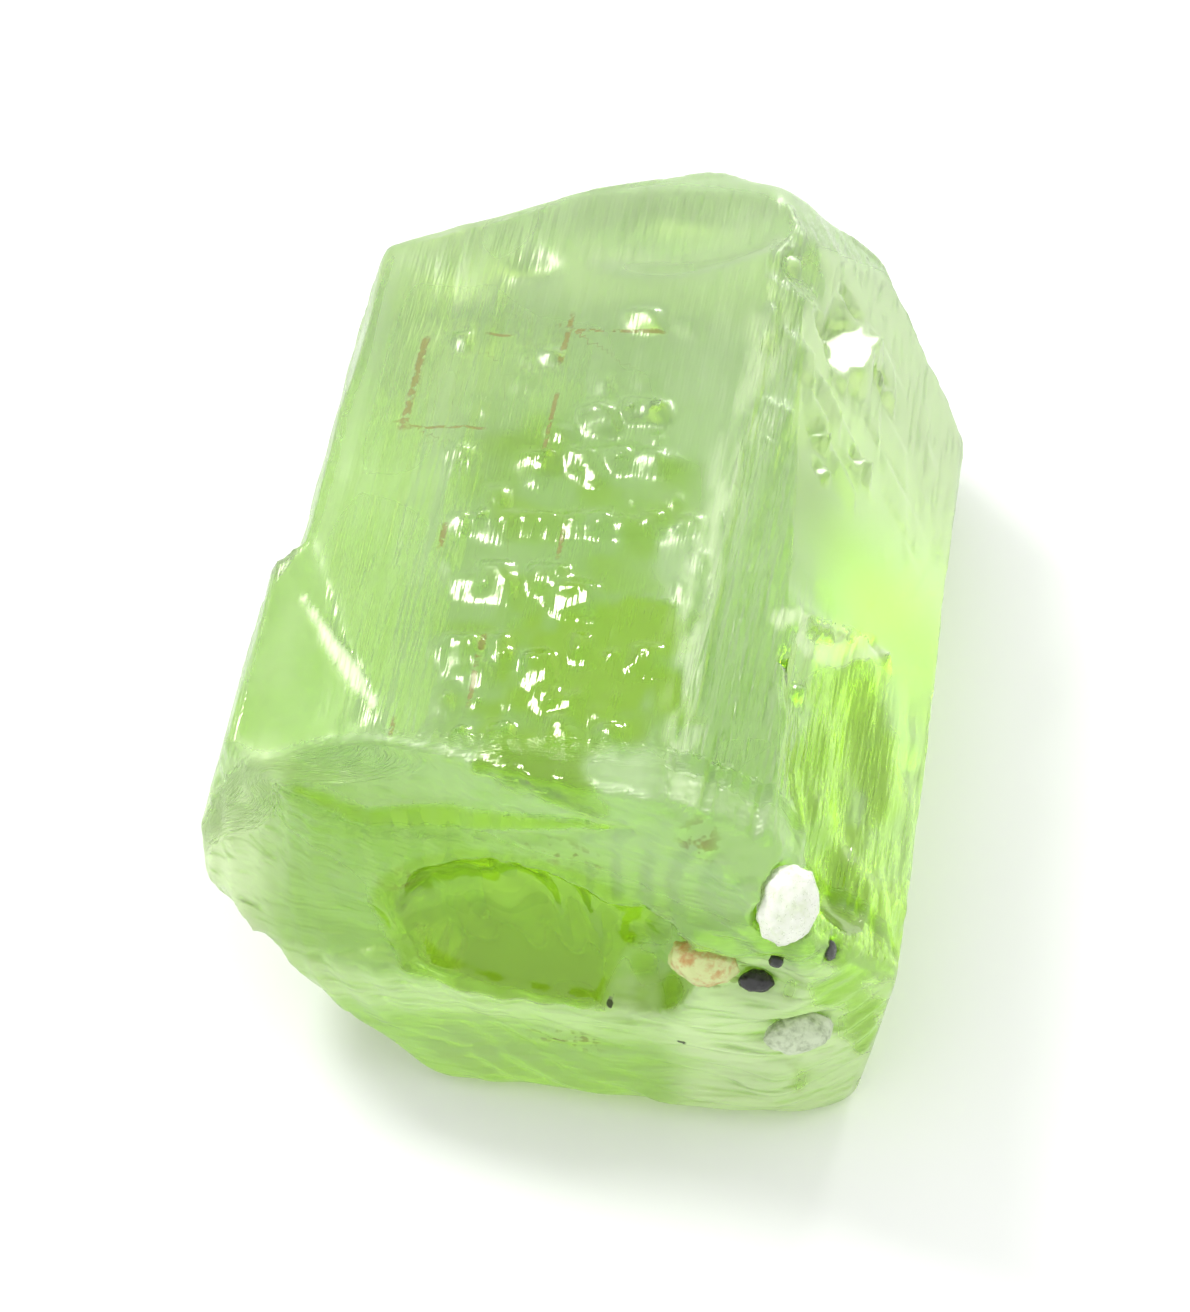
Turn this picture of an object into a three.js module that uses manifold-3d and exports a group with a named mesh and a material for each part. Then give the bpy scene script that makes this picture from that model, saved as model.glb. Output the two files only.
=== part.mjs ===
import * as THREE from "three";
import { ConvexGeometry } from "three/addons/geometries/ConvexGeometry.js";
import { mergeVertices } from "three/addons/utils/BufferGeometryUtils.js";
import Module from "manifold-3d";

const wasm = await Module();
wasm.setup();

// A rough peridot crystal, lying on its side. Millimetres. Before it is turned, x runs across it,
// y along it from the broken end to the grown one, and z up.
const crystalTop = 10.5; // height of the ridge
const ridgeAcross = 2.7; // where the ridge stands, to the right of the middle
const leftSide = -7.5;
const rightSide = 7.55;
const grownEnd = 11.95;
const brokenEnd = -8.7;
const turnOnTable = -10; // degrees, seen from above: the far end leans to the right
const seatGap = 0.03; // left between a foreign grain and the pocket it sits in

// The flat faces, each by the way it looks out and a point that it passes through.
const faces = {
  underside: { outward: [0, 0, -1], through: [0, 0, 0] },
  mainFace: { outward: [-0.146, 0.02, 1], through: [ridgeAcross, 0, crystalTop] },
  ridgeBand: { outward: [0.42, 0.02, 1], through: [ridgeAcross, 0, crystalTop] },
  ridgeTipFace: { outward: [0.34, -0.46, 0.82], through: [3.6, -7.7, 10.2] },
  rightFace: { outward: [0.871, 0.085, 0.478], through: [5.0, -4.8, 9.4] },
  rightRearFace: { outward: [0.68, 0.4, 0.61], through: [5.0, 7.0, 9.2] },
  rightSideFace: { outward: [1, 0.03, -0.16], through: [rightSide, 0, 4.0] },
  leftFace: { outward: [-1, 0, 0.22], through: [leftSide + 0.4, 0, 7.5] },
  leftSideFace: { outward: [-1, 0, -0.18], through: [leftSide, 0, 5.0] },
  leftUnderFace: { outward: [-0.62, -0.05, -0.78], through: [-5.35, 0, 1.75] },
  leftBlockFace: { outward: [-0.43, -0.13, 0.89], through: [-3.2, -6.8, 9.75] },
  domeFace: { outward: [-0.05, 0.42, 0.9], through: [0, 9.3, 10.0] },
  grownEndFace: { outward: [0.15, 1, 0.22], through: [0, grownEnd, 7.6] },
  grownLeftFace: { outward: [-0.42, 0.86, 0.3], through: [-6.2, 8.0, 9.0] },
  grownRightFace: { outward: [0.7, 0.7, 0.12], through: [6.3, 9.85, 6.5] },
  grownUnderFace: { outward: [0, 0.9, -0.45], through: [0, grownEnd + 0.5, 3.4] },
  brokenTopFace: { outward: [-0.2, -0.92, 0.33], through: [-0.1, -7.3, 10.1] },
  brokenEndFace: { outward: [0, -1, -0.04], through: [0, brokenEnd, 5.0] },
  brokenRightFace: { outward: [0.56, -0.82, -0.08], through: [6.2, -8.4, 5.0] },
  brokenLeftFace: { outward: [-0.62, -0.72, 0.3], through: [-7.0, -6.7, 6.0] },
  brokenLeftUnderFace: { outward: [-0.55, -0.62, -0.56], through: [-6.3, -7.3, 3.4] },
  brokenFootFace: { outward: [0.04, -0.8, -0.6], through: [1.2, -8.5, 0.7] },
};

// Six far faces that close a cutting block on its open sides.
const wholeRoom = [
  { outward: [1, 0, 0], through: [20, 0, 0] },
  { outward: [-1, 0, 0], through: [-20, 0, 0] },
  { outward: [0, 1, 0], through: [0, 20, 0] },
  { outward: [0, -1, 0], through: [0, -20, 0] },
  { outward: [0, 0, 1], through: [0, 0, 20] },
  { outward: [0, 0, -1], through: [0, 0, -20] },
];

// The step in the left side: behind it the side stands further in.
const leftStep = [
  { outward: [1, 0, -0.22], through: [-6.2, 0, 9.0] },
  { outward: [0.25, -1, 0.1], through: [-6.2, -1.1, 9.0] },
  { outward: [-0.3, 0, -1], through: [-7.5, 0, 2.2] },
  ...wholeRoom,
];

// Curved breaks, each the hollow that a chip left. Wider ones get more facets.
const wideChip = 4; // square mm
const chips = {
  broadShell: { at: [0.3, -9.05, 8.5], half: [7.6, 2.7, 1.35], tilt: [70, 2, -12] },
  upperShell: { at: [-1.7, -7.45, 9.35], half: [4.6, 0.95, 0.5], tilt: [70, -9, -12] },
  leftShell: { at: [-6.0, -7.7, 6.4], half: [1.5, 1.9, 0.7], tilt: [66, 0, -38] },
  mainHollow: { at: [0.1, -8.95, 6.15], half: [3.3, 2.2, 1.85], tilt: [0, 6, 0] },
  hollowCorner: { at: [2.35, -8.9, 5.9], half: [1.35, 2.0, 1.9], tilt: [0, 12, -8] },
  leftHollow: { at: [-3.7, -8.55, 5.7], half: [1.7, 0.6, 1.1], tilt: [0, 14, -14] },
  grainHollow: { at: [4.7, -9.15, 6.05], half: [1.7, 0.9, 1.05], tilt: [0, 8, 6] },
  rightLip: { at: [5.2, -9.25, 4.0], half: [1.9, 0.9, 0.65], tilt: [0, 2, 14] },
  lowerWave: { at: [-1.3, -9.45, 2.6], half: [4.0, 1.0, 1.25], tilt: [0, 14, 2] },
  lowerRightWave: { at: [3.4, -9.45, 1.8], half: [3.0, 0.95, 1.0], tilt: [0, -4, 4] },
  lowerLeftWave: { at: [-6.5, -7.9, 2.9], half: [2.0, 0.7, 1.6], tilt: [-24, 38, -36] },
  rightPit: {
    at: [6.15, -2.9, 7.85],
    half: [1.0, 4.3, 2.5],
    tilt: [0, -28, 4],
    wall: { outward: [-0.3, 0.865, 0.4], through: [5.35, -0.55, 8.0] },
  },
  rightPitFront: { at: [6.35, -6.2, 7.4], half: [0.75, 1.5, 1.3], tilt: [0, -28, 4] },
  rearChip: { at: [-0.9, 9.6, 10.75], half: [4.4, 2.6, 1.15], tilt: [14, 4, 10] },
  rearLeftChip: { at: [-4.9, 7.1, 9.85], half: [1.5, 2.5, 0.7], tilt: [6, -10, 14] },
  rearDent: { at: [-2.75, 7.25, 9.7], half: [0.8, 0.4, 0.45], tilt: [0, 0, 10] },
  cornerChip: { at: [4.0, 8.7, 10.05], half: [1.5, 1.5, 0.75], tilt: [20, 32, 0] },
  rightRearChip: { at: [5.2, 5.6, 9.45], half: [0.9, 2.1, 0.55], tilt: [0, 50, 8] },
  undersideChip: { at: [-3.4, 7.4, 0.1], half: [2.2, 1.7, 0.8], tilt: [0, 0, 24] },
  grownEndChip: { at: [1.5, 12.9, 4.6], half: [2.6, 1.0, 1.8], tilt: [0, 12, 0] },
  leftSideChip: { at: [-8.3, 3.4, 5.2], half: [0.9, 2.8, 1.7], tilt: [10, 0, 0] },
};

// Rows of low etched hillocks. Each row runs across its face from one x to another at its y.
const hillockRows = [
  { face: faces.mainFace, along: 5.6, from: -1.2, to: 1.5, count: 4, radius: 0.36 },
  { face: faces.mainFace, along: 3.0, from: -0.8, to: 1.3, count: 3, radius: 0.5 },
  { face: faces.mainFace, along: 1.55, from: -1.6, to: 1.8, count: 5, radius: 0.42 },
  { face: faces.mainFace, along: -0.3, from: -2.7, to: 2.2, count: 8, radius: 0.38 },
  { face: faces.mainFace, along: -2.1, from: -2.3, to: 0.3, count: 4, radius: 0.52 },
  { face: faces.mainFace, along: -4.0, from: -2.9, to: 2.0, count: 7, radius: 0.46 },
  { face: faces.mainFace, along: -5.2, from: -2.5, to: 1.6, count: 6, radius: 0.42 },
  { face: faces.mainFace, along: -6.2, from: -2.9, to: 1.9, count: 6, radius: 0.4 },
  { face: faces.ridgeBand, along: 7.6, from: 2.9, to: 3.9, count: 2, radius: 0.4 },
  { face: faces.rightFace, along: 4.4, from: 4.3, to: 5.6, count: 3, radius: 0.36 },
  { face: faces.rightFace, along: 3.2, from: 4.4, to: 6.2, count: 3, radius: 0.28 },
  { face: faces.leftBlockFace, along: -6.0, from: -4.9, to: -3.7, count: 3, radius: 0.24 },
];
const hillockRise = 0.34; // of its radius

// Lengthwise ribs: fine ones down the ridge band and a few low ones on the left of the main face.
const ribSets = [
  { face: faces.ridgeBand, from: 2.9, to: 4.6, near: -7.2, far: 6.5, count: 9, halfWidth: 0.13, rise: 0.09 },
  { face: faces.mainFace, from: -5.5, to: -2.9, near: -5.6, far: 5.6, count: 7, halfWidth: 0.15, rise: 0.06 },
];
const shortestRib = 1.9;
const bandEdge = { x: 4.62, y: -6, narrowing: 0.085 }; // where the ridge band's right edge runs
const blockEdge = { x: -6.3, y: -1.4, slope: -1.55 }; // where the left block's face begins

// Grains of other minerals, each seated in a pocket in the crystal.
const grainRoughness = 0.06;
const grains = {
  white_grain: { color: 0xeef2e0, seed: 3, at: [5.55, -8.38, 8.6], half: [0.76, 0.66, 1], tilt: [-44, 8, 0] },
  cream_grain: { color: 0xc9cf9a, seed: 8, at: [3.8, -8.55, 6.3], half: [0.85, 0.5, 0.62], tilt: [0, 10, 0] },
  grey_grain: { color: 0xc3cbb4, seed: 5, at: [5.9, -8.5, 4.15], half: [0.9, 0.5, 0.5], tilt: [0, 8, 30] },
  black_grain_upper: { color: 0x2a2d26, seed: 1, at: [5.4, -8.75, 7.05], half: [0.2, 0.2, 0.2] },
  black_grain_side: { color: 0x3a3c34, seed: 2, at: [6.45, -8.15, 6.85], half: [0.2, 0.22, 0.34] },
  black_grain_lower: { color: 0x23251f, seed: 6, at: [4.95, -8.4, 5.7], half: [0.42, 0.3, 0.26] },
};

const material = (color, roughness) => new THREE.MeshStandardMaterial({ color, roughness, metalness: 0 });

// The corners of a block of flat faces: where three of its faces meet and no other face cuts it off.
function blockGeometry(sides) {
  const planes = sides.map(({ outward, through }) => {
    const normal = new THREE.Vector3(...outward).normalize();
    return { normal, reach: normal.dot(new THREE.Vector3(...through)) };
  });
  const corners = [];
  for (let a = 0; a < planes.length; a++) {
    for (let b = a + 1; b < planes.length; b++) {
      for (let c = b + 1; c < planes.length; c++) {
        const corner = meetingPoint(planes[a], planes[b], planes[c]);
        if (corner && planes.every(({ normal, reach }) => normal.dot(corner) <= reach + 1e-6)) {
          corners.push(corner);
        }
      }
    }
  }
  return new ConvexGeometry(corners);
}

function meetingPoint(first, second, third) {
  const across = new THREE.Vector3().crossVectors(second.normal, third.normal);
  const spread = first.normal.dot(across);
  if (Math.abs(spread) < 1e-4) return null;
  return across
    .multiplyScalar(first.reach)
    .addScaledVector(new THREE.Vector3().crossVectors(third.normal, first.normal), second.reach)
    .addScaledVector(new THREE.Vector3().crossVectors(first.normal, second.normal), third.reach)
    .divideScalar(spread);
}

// A three.js geometry as a closed solid that can be cut and joined.
function solid(geometry) {
  const bare = geometry.index ? geometry.toNonIndexed() : geometry.clone();
  bare.deleteAttribute("normal");
  bare.deleteAttribute("uv");
  const merged = mergeVertices(bare, 1e-4);
  return new wasm.Manifold(
    new wasm.Mesh({
      numProp: 3,
      vertProperties: new Float32Array(merged.attributes.position.array),
      triVerts: new Uint32Array(merged.index.array),
    }),
  );
}

function geometryOf(body) {
  const mesh = body.getMesh();
  const geometry = new THREE.BufferGeometry();
  geometry.setAttribute("position", new THREE.BufferAttribute(new Float32Array(mesh.vertProperties), 3));
  geometry.setIndex(new THREE.BufferAttribute(new Uint32Array(mesh.triVerts), 1));
  return geometry;
}

// A rounded hollow: a ball stretched to three half sizes, tilted about x, y and z in degrees, and
// cut off at a flat wall where it has one.
function chipOut({ at, half, tilt = [0, 0, 0], wall = null }) {
  const detail = half[0] * half[1] > wideChip ? 8 : 5;
  const geometry = new THREE.IcosahedronGeometry(1, detail);
  geometry.scale(...half);
  geometry.applyMatrix4(tilted(tilt));
  geometry.translate(...at);
  return wall ? solid(geometry).intersect(solid(blockGeometry([wall, ...wholeRoom]))) : solid(geometry);
}

function tilted(degrees) {
  return new THREE.Matrix4().makeRotationFromEuler(
    new THREE.Euler(...degrees.map(THREE.MathUtils.degToRad), "ZYX"),
  );
}

// The height of a flat face above a point of the table.
function heightOn(face, x, y) {
  const [outX, outY, outZ] = face.outward;
  const [throughX, throughY, throughZ] = face.through;
  return throughZ - (outX * (x - throughX) + outY * (y - throughY)) / outZ;
}

// A steady spread between -1 and 1, the same each time for each whole number.
function scatter(index) {
  return 2 * THREE.MathUtils.euclideanModulo(Math.sin(index * 12.9898) * 43758.5453, 1) - 1;
}

function hillocks() {
  const placed = [];
  hillockRows.forEach(({ face, along, from, to, count, radius }, row) => {
    for (let k = 0; k < count; k++) {
      const index = row * 17 + k;
      const x = from + ((to - from) * (k + 0.5)) / count + 0.14 * scatter(index);
      const y = along + 0.2 * scatter(index + 400);
      const size = radius * (1 + 0.22 * scatter(index + 800));
      const cone = new THREE.ConeGeometry(size, 2 * hillockRise * size, 5);
      cone.rotateX(Math.PI / 2);
      cone.rotateZ(index);
      cone.scale(1, 1.25, 1);
      cone.applyQuaternion(uprightOn(face));
      cone.translate(x, y, heightOn(face, x, y));
      placed.push(solid(cone));
    }
  });
  return placed;
}

// Ribs stop where the ridge band narrows away to the right and where the left block's face begins.
function ribsOn({ face, from, to, near, far, count, halfWidth, rise }) {
  const placed = [];
  for (let k = 0; k < count; k++) {
    const x = from + ((to - from) * k) / (count - 1) + 0.04 * scatter(k + 50);
    const blockEnd = blockEdge.y + blockEdge.slope * (x - blockEdge.x);
    const bandEnd = bandEdge.y + (bandEdge.x - x) / bandEdge.narrowing;
    const start = Math.max(near, blockEnd) + 0.9 * Math.abs(scatter(k + 60));
    const end = Math.min(far - 2.6 * Math.abs(scatter(k + 70)), bandEnd);
    if (end - start < shortestRib) continue;
    const rib = new THREE.OctahedronGeometry(1);
    rib.scale(halfWidth, (end - start) / 2, rise);
    rib.applyQuaternion(uprightOn(face));
    rib.translate(x, (start + end) / 2, heightOn(face, x, (start + end) / 2));
    placed.push(solid(rib));
  }
  return placed;
}

function uprightOn(face) {
  const normal = new THREE.Vector3(...face.outward).normalize();
  return new THREE.Quaternion().setFromUnitVectors(new THREE.Vector3(0, 0, 1), normal);
}

// A grain is the hull of a ball's points pushed in and out a little.
function grainGeometry({ at, half, tilt = [0, 0, 0], seed }, grow = 0) {
  const points = [];
  const sphere = new THREE.IcosahedronGeometry(1, 1).deleteAttribute("normal").deleteAttribute("uv");
  const position = mergeVertices(sphere).attributes.position;
  for (let k = 0; k < position.count; k++) {
    const point = new THREE.Vector3().fromBufferAttribute(position, k);
    points.push(point.multiplyScalar(1 - grainRoughness * (1 + scatter(seed * 100 + k))));
  }
  const geometry = new ConvexGeometry(points);
  geometry.scale(...half.map((size) => size * (1 + grow / Math.min(...half))));
  geometry.applyMatrix4(tilted(tilt));
  geometry.translate(...at);
  return geometry;
}

function peridotBody() {
  let body = solid(blockGeometry(Object.values(faces))).subtract(solid(blockGeometry(leftStep)));
  for (const raised of [...hillocks(), ...ribSets.flatMap(ribsOn)]) body = body.add(raised);
  for (const chip of Object.values(chips)) body = body.subtract(chipOut(chip));
  for (const grain of Object.values(grains)) body = body.subtract(solid(grainGeometry(grain, 2 * seatGap)));
  return body;
}

const crystal = new THREE.Group();
const peridot = new THREE.Mesh(geometryOf(peridotBody()), material(0xa6cf78, 0.3));
peridot.name = "peridot_crystal";
crystal.add(peridot);
for (const [name, grain] of Object.entries(grains)) {
  const piece = new THREE.Mesh(geometryOf(solid(grainGeometry(grain))), material(grain.color, 0.5));
  piece.name = name;
  crystal.add(piece);
}
crystal.rotation.z = THREE.MathUtils.degToRad(turnOnTable);

// The origin is under the middle of the whole piece, at the height of the table.
const middle = new THREE.Box3().setFromObject(crystal, true).getCenter(new THREE.Vector3());
crystal.position.set(-middle.x, -middle.y, 0);

export default crystal;
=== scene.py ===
import math
from types import SimpleNamespace
import bpy
import numpy as np
from mathutils import Matrix, Vector


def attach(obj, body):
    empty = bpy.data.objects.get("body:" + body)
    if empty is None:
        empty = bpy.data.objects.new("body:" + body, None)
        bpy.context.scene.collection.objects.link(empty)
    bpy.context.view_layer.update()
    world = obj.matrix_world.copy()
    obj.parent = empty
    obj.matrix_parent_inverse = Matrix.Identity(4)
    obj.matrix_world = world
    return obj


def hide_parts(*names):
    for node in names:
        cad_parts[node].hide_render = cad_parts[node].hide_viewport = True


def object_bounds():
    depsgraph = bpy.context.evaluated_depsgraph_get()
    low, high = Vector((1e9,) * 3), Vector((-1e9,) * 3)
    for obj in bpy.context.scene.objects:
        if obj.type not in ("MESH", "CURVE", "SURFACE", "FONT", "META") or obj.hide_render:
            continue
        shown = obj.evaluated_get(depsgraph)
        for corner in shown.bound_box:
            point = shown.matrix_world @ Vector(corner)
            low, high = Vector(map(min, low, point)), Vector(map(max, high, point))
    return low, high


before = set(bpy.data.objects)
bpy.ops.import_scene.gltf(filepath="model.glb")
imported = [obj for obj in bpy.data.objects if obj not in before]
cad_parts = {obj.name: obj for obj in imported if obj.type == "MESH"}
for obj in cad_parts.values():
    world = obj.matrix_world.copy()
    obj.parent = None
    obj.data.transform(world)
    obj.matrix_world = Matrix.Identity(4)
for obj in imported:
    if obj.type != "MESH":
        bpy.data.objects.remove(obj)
cadBox = [list(corner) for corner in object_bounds()]
toMetres = 0.001
print("frame loaded")


# The crystal's own directions: x across, y along to the grown end, z up, in millimetres
crystalLayout = {
    "turn": math.radians(10),  # back from the frame's directions to the crystal's
    "shift": (-0.176, 1.266),  # the frame's origin seen from the crystal's
}
turnCos, turnSin = math.cos(crystalLayout["turn"]), math.sin(crystalLayout["turn"])
crystalTurn = np.array([[turnCos, turnSin, 0], [-turnSin, turnCos, 0], [0, 0, 1]])
mainFaceOut = Vector((-0.146, 0.02, 1)).normalized()
ridgeBandOut = Vector((0.42, 0.02, 1)).normalized()
rightFaceOut = Vector((0.871, 0.085, 0.478)).normalized()
leftBlockOut = Vector((-0.43, -0.13, 0.89)).normalized()


def toCrystal(points):
    return points @ crystalTurn + (*crystalLayout["shift"], 0)


# 0 at low, 1 at high, smooth between
def blend(low, high, value):
    t = np.clip((value - low) / (high - low), 0, 1)
    return t * t * (3 - 2 * t)


def between(low, high, soft, value):  # 1 from low to high, with soft ends
    return blend(low - soft, low + soft, value) * (1 - blend(high - soft, high + soft, value))


# A number from 0 to 1 for each cell of a grid, the same every run
def scatter(column, row, seed):
    wave = np.sin(column * 127.1 + row * 311.7 + seed * 74.7) * 43758.5453
    return wave - np.floor(wave)


# Smooth noise from -1 to 1 that changes once a unit. Each use has a seed of its own.
def softNoise(x, y, seed):
    column, row = np.floor(x), np.floor(y)
    across, along = blend(0, 1, x - column), blend(0, 1, y - row)
    near = scatter(column, row, seed) * (1 - across) + scatter(column + 1, row, seed) * across
    far = scatter(column, row + 1, seed) * (1 - across) + scatter(column + 1, row + 1, seed) * across
    return 2 * (near * (1 - along) + far * along) - 1


# A coarse layer of noise and a share of a finer one
def layeredNoise(coarse, fine, share, seed):
    return softNoise(*coarse, seed) + share * softNoise(*fine, seed + 1)


# Shingles: small plates that rise gently to the right and back, then fall away steeply
shingleShape = {
    "lean": (0.14, 0.24),     # slopes to the right and back, towards the window lamp
    "leanSpread": 0.5,
    "sideSlope": 1.1,
    "skew": 0.25,
    "size": (0.35, 0.25),     # least half size and its spread, as shares of a cell
    "wander": (0.5, 0.4),     # of its middle across and along, as shares of a cell
}


def shingle(dx, dy, halfX, halfY, lean=shingleShape["lean"]):
    top = lean[0] * (dx + halfX) + lean[1] * (dy + halfY)
    sides = shingleShape["sideSlope"] * np.minimum(halfX - np.abs(dx), halfY - np.abs(dy))
    return np.maximum(np.minimum(top, sides), 0)


# Shingles scattered over a grid of cells, of which a share is filled
def shingleField(x, y, cell, seed, fill):
    shape = shingleShape
    height = np.zeros_like(x)
    column, row = np.floor(x / cell[0]), np.floor(y / cell[1])
    for stepX in (-1, 0, 1):
        for stepY in (-1, 0, 1):
            cx, cy = column + stepX, row + stepY
            wander = [share * (scatter(cx, cy, seed + i) - 0.5) for i, share in enumerate(shape["wander"])]
            dx = x - cell[0] * (cx + 0.5 + wander[0])
            dy = y - cell[1] * (cy + 0.5 + wander[1])
            size = shape["size"][0] + shape["size"][1] * scatter(cx, cy, seed + 2)
            lean = [plain + shape["leanSpread"] * (scatter(cx, cy, seed + 3 + i) - 0.5)
                    for i, plain in enumerate(shape["lean"])]
            one = shingle(dx + shape["skew"] * dy, dy, size * cell[0], size * cell[1], lean)
            height = np.maximum(height, one * (scatter(cx, cy, seed + 5) < fill))
    return height


# A fine closed mesh over a CAD solid, in millimetres
def remeshed(node, voxel):
    work = bpy.data.objects.new("work", node.data.copy())
    bpy.context.scene.collection.objects.link(work)
    work.data.transform(Matrix.Scale(1 / toMetres, 4))
    remesh = work.modifiers.new("Fine", "REMESH")
    remesh.mode = "VOXEL"
    remesh.voxel_size = voxel
    evaluated = work.evaluated_get(bpy.context.evaluated_depsgraph_get())
    fine = evaluated.to_mesh()
    points = np.empty(len(fine.vertices) * 3)
    fine.vertices.foreach_get("co", points)
    corners = np.empty(len(fine.loops), dtype=np.int64)
    fine.loops.foreach_get("vertex_index", corners)
    evaluated.to_mesh_clear()
    rough = work.data
    bpy.data.objects.remove(work)
    bpy.data.meshes.remove(rough)
    return points.reshape(-1, 3), corners.reshape(-1, 4)


# Mean of each point's neighbours
def neighbourMean(values, quads):
    total = np.zeros_like(values)
    count = np.zeros(len(values))
    for side in range(4):
        a, b = quads[:, side], quads[:, (side + 1) % 4]
        count += np.bincount(a, minlength=len(values))
        for axis in range(values.shape[1]):
            total[:, axis] += np.bincount(a, values[b, axis], minlength=len(values))
    return total / count[:, None]


# Each round shrinks a little, then grows back, so that the whole keeps its size
def smoothed(points, quads, rounds, shrink=0.5, grow=0.52):
    for _ in range(rounds):
        points = points + shrink * (neighbourMean(points, quads) - points)
        points = points - grow * (neighbourMean(points, quads) - points)
    return points


# Wears edges round where the mask is 1
def worn(points, quads, rounds, mask, pull=0.6):
    for _ in range(rounds):
        points = points + pull * mask[:, None] * (neighbourMean(points, quads) - points)
    return points


def normalsOf(points, quads):
    corners = [points[quads[:, side]] for side in range(4)]
    diagonals = np.cross(corners[2] - corners[0], corners[3] - corners[1])
    normals = np.stack([
        sum(np.bincount(quads[:, side], diagonals[:, axis], minlength=len(points)) for side in range(4))
        for axis in range(3)
    ], axis=1)
    return normals / np.maximum(np.linalg.norm(normals, axis=1), 1e-9)[:, None]


def meshPiece(name, points, quads, layers=None):
    mesh = bpy.data.meshes.new(name)
    mesh.from_pydata(points * toMetres, [], quads)
    mesh.polygons.foreach_set("use_smooth", np.ones(len(mesh.polygons), dtype=bool))
    for layer, values in (layers or {}).items():
        attribute = mesh.attributes.new(layer, "FLOAT", "POINT")
        attribute.data.foreach_set("value", values.astype(np.float32))
    piece = bpy.data.objects.new(name, mesh)
    bpy.context.scene.collection.objects.link(piece)
    return piece


# Distance from points to a route, all in two directions
def lineDistance(x, y, route):
    best = np.full(len(x), 1e9)
    for (ax, ay), (bx, by) in zip(route, route[1:]):
        length = math.hypot(bx - ax, by - ay)
        along = np.clip(((x - ax) * (bx - ax) + (y - ay) * (by - ay)) / length ** 2, 0, 1)
        best = np.minimum(best, np.hypot(x - ax - along * (bx - ax), y - ay - along * (by - ay)))
    return best


# How far points are from the middle of a spot, where 1 is its edge
def reachOf(place, spot):
    return np.linalg.norm((place - spot["at"]) / spot["half"], axis=1)


# Shader maths: wraps one output socket, so that + - and * on it add Math nodes
class Signal:
    def __init__(self, tree, socket):
        self.tree = tree
        self.socket = socket

    def add(self, kind, settings, sockets):
        return addNode(self.tree, kind, settings, sockets)

    def maths(self, operation, *values):
        return self.add("ShaderNodeMath", {"operation": operation}, dict(enumerate(values)))

    def __add__(self, other): return self.maths("ADD", self, other)
    def __radd__(self, other): return self.maths("ADD", other, self)
    def __sub__(self, other): return self.maths("SUBTRACT", self, other)
    def __rsub__(self, other): return self.maths("SUBTRACT", other, self)
    def __mul__(self, other): return self.maths("MULTIPLY", self, other)
    def __rmul__(self, other): return self.maths("MULTIPLY", other, self)
    def __abs__(self): return self.maths("ABSOLUTE", self)
    def min(self, other): return self.maths("MINIMUM", self, other)
    def max(self, other): return self.maths("MAXIMUM", self, other)

    def ramp(self, low, high):  # 0 at low, 1 at high, smooth between
        return self.add("ShaderNodeMapRange", {"interpolation_type": "SMOOTHSTEP"},
                        {"Value": self, "From Min": low, "From Max": high})


# The one way in which any node is made: settings come first, then values or links of its sockets
def addNode(tree, kind, settings=None, sockets=None, out=0):
    node = tree.nodes.new(kind)
    for setting, value in (settings or {}).items():
        setattr(node, setting, value)
    for name, value in (sockets or {}).items():
        socket = node.inputs[name]
        if isinstance(value, Signal):
            tree.links.new(value.socket, socket)
        elif socket.type == "RGBA":
            socket.default_value = (*value, 1)
        else:
            socket.default_value = value
    return Signal(tree, node.outputs[out]) if len(node.outputs) else node


# A Mix node names its sockets alike for every kind, so they go by number: 6, 7 and 2 are colours
def mixColour(low, high, factor):
    tree = next(v.tree for v in (low, high, factor) if isinstance(v, Signal))
    return addNode(tree, "ShaderNodeMix", {"data_type": "RGBA"}, {0: factor, 6: low, 7: high}, out=2)


def newMaterial(name):
    material = bpy.data.materials.new(name)
    material.use_nodes = True
    material.node_tree.nodes.clear()
    return material, material.node_tree


# Millimetres in the crystal's own directions
def crystalPlace(tree):
    place = addNode(tree, "ShaderNodeTexCoord", out="Object")
    return addNode(tree, "ShaderNodeMapping", None, {
        "Vector": place,
        "Location": (*crystalLayout["shift"], 0),
        "Rotation": (0, 0, crystalLayout["turn"]),
        "Scale": (1 / toMetres,) * 3,
    })


def stretched(tree, place, scale):
    return addNode(tree, "ShaderNodeMapping", None, {"Vector": place, "Scale": scale})


def noise(tree, place, scale, detail, roughness=0.6):
    return addNode(tree, "ShaderNodeTexNoise", None, {
        "Vector": place, "Scale": scale, "Detail": detail, "Roughness": roughness})


# Camera: looks down at 52 degrees, as the photo does
photoView = {
    "target": (-0.046, -1.277, 5.2),  # millimetres
    "elevation": 52,
    "distance": 130,
    "pixelsPerMm": 45,  # at the target, in the photo's 1190 pixels of width
    "frameWidth": 1190,
    "sensor": 36,
    "nearest": 0.01,  # metres
}


def makeCamera():
    view = photoView
    tilt = math.radians(view["elevation"])
    data = bpy.data.cameras.new("photoCamera")
    data.sensor_fit = "HORIZONTAL"
    data.sensor_width = view["sensor"]
    data.lens = view["pixelsPerMm"] * view["distance"] * view["sensor"] / view["frameWidth"]
    data.clip_start = view["nearest"]
    camera = bpy.data.objects.new("photoCamera", data)
    away = Vector((0, -math.cos(tilt), math.sin(tilt))) * view["distance"]
    camera.location = (Vector(view["target"]) + away) * toMetres
    camera.rotation_euler = (math.pi / 2 - tilt, 0, 0)
    bpy.context.scene.collection.objects.link(camera)
    bpy.context.scene.camera = camera


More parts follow.
